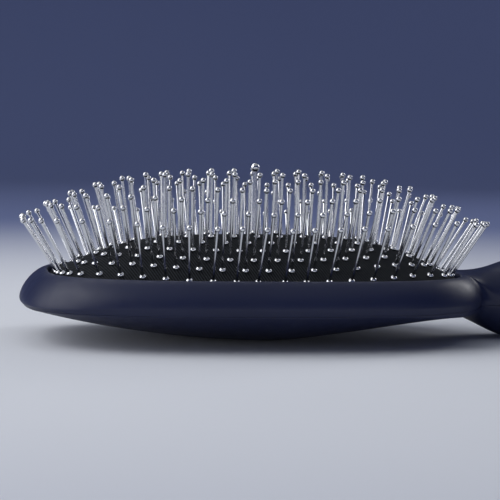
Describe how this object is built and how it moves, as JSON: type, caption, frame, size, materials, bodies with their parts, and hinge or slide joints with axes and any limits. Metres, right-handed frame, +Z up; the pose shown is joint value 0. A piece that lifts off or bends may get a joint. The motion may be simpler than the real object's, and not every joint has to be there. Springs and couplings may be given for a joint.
{
  "type": "cushioned detangling brush",
  "caption": "Detangling brush with a domed rubber cushion of ball-tipped steel pins, set in an oval head on a hollow swelling handle, lying on its back.",
  "frame": {"origin": "on the resting surface, at the flat of the belly under the middle of the head", "axes": "+X along the brush from the tip of the head to the end of the handle, +Y across the brush, +Z up, the way the pins point"},
  "size_m": [0.2226, 0.0782, 0.0468],
  "materials": {
    "shell_front": "soft-touch satin navy",
    "shell_back": "soft-touch satin navy",
    "plate": "moulded black",
    "rubber": "finely ribbed charcoal rubber",
    "backing": "woven grey backing",
    "pin_steel": "polished steel"
  },
  "bodies": {
    "brush": {"front_shell": "shell_front", "back_shell": "shell_back", "base_plate": "plate", "cushion": "rubber", "pad_backing": "backing"},
    "centre": {"centre_pin": "pin_steel"},
    "centre_row": {"pins_centre_row": "pin_steel"},
    "ring1": {"pins_ring1_corners": "pin_steel"},
    "ring1_right": {"pins_ring1_right": "pin_steel"},
    "ring1_left": {"pins_ring1_left": "pin_steel"},
    "ring1_tip": {"pins_ring1_tip": "pin_steel"},
    "ring1_neck": {"pins_ring1_neck": "pin_steel"},
    "ring2": {"pins_ring2_corners": "pin_steel"},
    "ring2_right": {"pins_ring2_right": "pin_steel"},
    "ring2_left": {"pins_ring2_left": "pin_steel"},
    "ring2_tip": {"pins_ring2_tip": "pin_steel"},
    "ring2_neck": {"pins_ring2_neck": "pin_steel"},
    "ring3": {"pins_ring3_corners": "pin_steel"},
    "ring3_right": {"pins_ring3_right": "pin_steel"},
    "ring3_left": {"pins_ring3_left": "pin_steel"},
    "ring3_tip": {"pins_ring3_tip": "pin_steel"},
    "ring3_neck": {"pins_ring3_neck": "pin_steel"},
    "ring4": {"pins_ring4_corners": "pin_steel"},
    "ring4_right": {"pins_ring4_right": "pin_steel"},
    "ring4_left": {"pins_ring4_left": "pin_steel"},
    "ring4_tip": {"pins_ring4_tip": "pin_steel"},
    "ring4_neck": {"pins_ring4_neck": "pin_steel"},
    "ring5": {"pins_ring5_ends": "pin_steel"},
    "ring5_right": {"pins_ring5_right": "pin_steel"},
    "ring5_left": {"pins_ring5_left": "pin_steel"},
    "ring6": {"pins_ring6_ends": "pin_steel"},
    "ring6_right": {"pins_ring6_right": "pin_steel"},
    "ring6_left": {"pins_ring6_left": "pin_steel"}
  },
  "joints": [
    {"name": "press_centre", "type": "slide", "parent": "brush", "child": "centre", "axis": [0, 0, 1], "range_m": [-0.0035, 0], "stiffness_N_per_m": 150, "deforming": ["cushion", "pad_backing"]},
    {"name": "press_ring1", "type": "slide", "parent": "brush", "child": "ring1", "axis": [0, 0, 1], "range_m": [-0.000759, 0], "stiffness_N_per_m": 150},
    {"name": "lean_ring1_right", "type": "hinge", "parent": "ring1", "child": "ring1_right", "pos_m": [0, -0.02782, 0.01793], "axis": [1, 0, 0], "range_deg": [-10, 10], "stiffness_Nm_per_rad": 0.01},
    {"name": "lean_ring1_left", "type": "hinge", "parent": "ring1", "child": "ring1_left", "pos_m": [0, 0.02782, 0.01793], "axis": [1, 0, 0], "range_deg": [-10, 10], "stiffness_Nm_per_rad": 0.01},
    {"name": "lean_ring1_tip", "type": "hinge", "parent": "ring1", "child": "ring1_tip", "pos_m": [-0.0523, 0, 0.01778], "axis": [0, 1, 0], "range_deg": [-10, 10], "stiffness_Nm_per_rad": 0.01},
    {"name": "lean_ring1_neck", "type": "hinge", "parent": "ring1", "child": "ring1_neck", "pos_m": [0.0523, 0, 0.01778], "axis": [0, 1, 0], "range_deg": [-10, 10], "stiffness_Nm_per_rad": 0.01},
    {"name": "press_ring2", "type": "slide", "parent": "brush", "child": "ring2", "axis": [0, 0, 1], "range_m": [-0.00144, 0], "stiffness_N_per_m": 150},
    {"name": "lean_ring2_right", "type": "hinge", "parent": "ring2", "child": "ring2_right", "pos_m": [0, -0.02257, 0.02038], "axis": [1, 0, 0], "range_deg": [-10, 10], "stiffness_Nm_per_rad": 0.01},
    {"name": "lean_ring2_left", "type": "hinge", "parent": "ring2", "child": "ring2_left", "pos_m": [0, 0.02257, 0.02038], "axis": [1, 0, 0], "range_deg": [-10, 10], "stiffness_Nm_per_rad": 0.01},
    {"name": "lean_ring2_tip", "type": "hinge", "parent": "ring2", "child": "ring2_tip", "pos_m": [-0.04759, 0, 0.02044], "axis": [0, 1, 0], "range_deg": [-10, 10], "stiffness_Nm_per_rad": 0.01},
    {"name": "lean_ring2_neck", "type": "hinge", "parent": "ring2", "child": "ring2_neck", "pos_m": [0.04759, 0, 0.02044], "axis": [0, 1, 0], "range_deg": [-10, 10], "stiffness_Nm_per_rad": 0.01},
    {"name": "press_ring3", "type": "slide", "parent": "brush", "child": "ring3", "axis": [0, 0, 1], "range_m": [-0.002, 0], "stiffness_N_per_m": 150},
    {"name": "lean_ring3_right", "type": "hinge", "parent": "ring3", "child": "ring3_right", "pos_m": [0, -0.01779, 0.02244], "axis": [1, 0, 0], "range_deg": [-10, 10], "stiffness_Nm_per_rad": 0.01},
    {"name": "lean_ring3_left", "type": "hinge", "parent": "ring3", "child": "ring3_left", "pos_m": [0, 0.01779, 0.02244], "axis": [1, 0, 0], "range_deg": [-10, 10], "stiffness_Nm_per_rad": 0.01},
    {"name": "lean_ring3_tip", "type": "hinge", "parent": "ring3", "child": "ring3_tip", "pos_m": [-0.04273, 0, 0.02264], "axis": [0, 1, 0], "range_deg": [-10, 10], "stiffness_Nm_per_rad": 0.01},
    {"name": "lean_ring3_neck", "type": "hinge", "parent": "ring3", "child": "ring3_neck", "pos_m": [0.04273, 0, 0.02264], "axis": [0, 1, 0], "range_deg": [-10, 10], "stiffness_Nm_per_rad": 0.01},
    {"name": "press_ring4", "type": "slide", "parent": "brush", "child": "ring4", "axis": [0, 0, 1], "range_m": [-0.00249, 0], "stiffness_N_per_m": 150},
    {"name": "lean_ring4_right", "type": "hinge", "parent": "ring4", "child": "ring4_right", "pos_m": [0, -0.01321, 0.02428], "axis": [1, 0, 0], "range_deg": [-10, 10], "stiffness_Nm_per_rad": 0.01},
    {"name": "lean_ring4_left", "type": "hinge", "parent": "ring4", "child": "ring4_left", "pos_m": [0, 0.01321, 0.02428], "axis": [1, 0, 0], "range_deg": [-10, 10], "stiffness_Nm_per_rad": 0.01},
    {"name": "lean_ring4_tip", "type": "hinge", "parent": "ring4", "child": "ring4_tip", "pos_m": [-0.03762, 0, 0.02434], "axis": [0, 1, 0], "range_deg": [-10, 10], "stiffness_Nm_per_rad": 0.01},
    {"name": "lean_ring4_neck", "type": "hinge", "parent": "ring4", "child": "ring4_neck", "pos_m": [0.03762, 0, 0.02434], "axis": [0, 1, 0], "range_deg": [-10, 10], "stiffness_Nm_per_rad": 0.01},
    {"name": "press_ring5", "type": "slide", "parent": "brush", "child": "ring5", "axis": [0, 0, 1], "range_m": [-0.00291, 0], "stiffness_N_per_m": 150},
    {"name": "lean_ring5_right", "type": "hinge", "parent": "ring5", "child": "ring5_right", "pos_m": [0, -0.00867, 0.02586], "axis": [1, 0, 0], "range_deg": [-10, 10], "stiffness_Nm_per_rad": 0.01},
    {"name": "lean_ring5_left", "type": "hinge", "parent": "ring5", "child": "ring5_left", "pos_m": [0, 0.00867, 0.02586], "axis": [1, 0, 0], "range_deg": [-10, 10], "stiffness_Nm_per_rad": 0.01},
    {"name": "press_ring6", "type": "slide", "parent": "brush", "child": "ring6", "axis": [0, 0, 1], "range_m": [-0.00325, 0], "stiffness_N_per_m": 150},
    {"name": "lean_ring6_right", "type": "hinge", "parent": "ring6", "child": "ring6_right", "pos_m": [0, -0.0042, 0.0271], "axis": [1, 0, 0], "range_deg": [-10, 10], "stiffness_Nm_per_rad": 0.01},
    {"name": "lean_ring6_left", "type": "hinge", "parent": "ring6", "child": "ring6_left", "pos_m": [0, 0.0042, 0.0271], "axis": [1, 0, 0], "range_deg": [-10, 10], "stiffness_Nm_per_rad": 0.01},
    {"name": "lean_centre_row", "type": "hinge", "parent": "centre", "child": "centre_row", "pos_m": [0, 0, 0.02771], "axis": [1, 0, 0], "range_deg": [-10, 10], "stiffness_Nm_per_rad": 0.01}
  ],
  "couplings": [
    {"joint": "press_ring1", "follows": "press_centre", "ratio": 0.214},
    {"joint": "press_ring2", "follows": "press_centre", "ratio": 0.40829},
    {"joint": "press_ring3", "follows": "press_centre", "ratio": 0.56829},
    {"joint": "press_ring4", "follows": "press_centre", "ratio": 0.70771},
    {"joint": "press_ring5", "follows": "press_centre", "ratio": 0.828},
    {"joint": "press_ring6", "follows": "press_centre", "ratio": 0.92571},
    {"joint": "lean_ring1_left", "follows": "lean_ring1_right", "ratio": 1},
    {"joint": "lean_ring2_right", "follows": "lean_ring1_right", "ratio": 1},
    {"joint": "lean_ring2_left", "follows": "lean_ring1_right", "ratio": 1},
    {"joint": "lean_ring3_right", "follows": "lean_ring1_right", "ratio": 1},
    {"joint": "lean_ring3_left", "follows": "lean_ring1_right", "ratio": 1},
    {"joint": "lean_ring4_right", "follows": "lean_ring1_right", "ratio": 1},
    {"joint": "lean_ring4_left", "follows": "lean_ring1_right", "ratio": 1},
    {"joint": "lean_ring5_right", "follows": "lean_ring1_right", "ratio": 1},
    {"joint": "lean_ring5_left", "follows": "lean_ring1_right", "ratio": 1},
    {"joint": "lean_ring6_right", "follows": "lean_ring1_right", "ratio": 1},
    {"joint": "lean_ring6_left", "follows": "lean_ring1_right", "ratio": 1},
    {"joint": "lean_centre_row", "follows": "lean_ring1_right", "ratio": 1},
    {"joint": "lean_ring1_neck", "follows": "lean_ring1_tip", "ratio": 1},
    {"joint": "lean_ring2_tip", "follows": "lean_ring1_tip", "ratio": 1},
    {"joint": "lean_ring2_neck", "follows": "lean_ring1_tip", "ratio": 1},
    {"joint": "lean_ring3_tip", "follows": "lean_ring1_tip", "ratio": 1},
    {"joint": "lean_ring3_neck", "follows": "lean_ring1_tip", "ratio": 1},
    {"joint": "lean_ring4_tip", "follows": "lean_ring1_tip", "ratio": 1},
    {"joint": "lean_ring4_neck", "follows": "lean_ring1_tip", "ratio": 1}
  ]
}
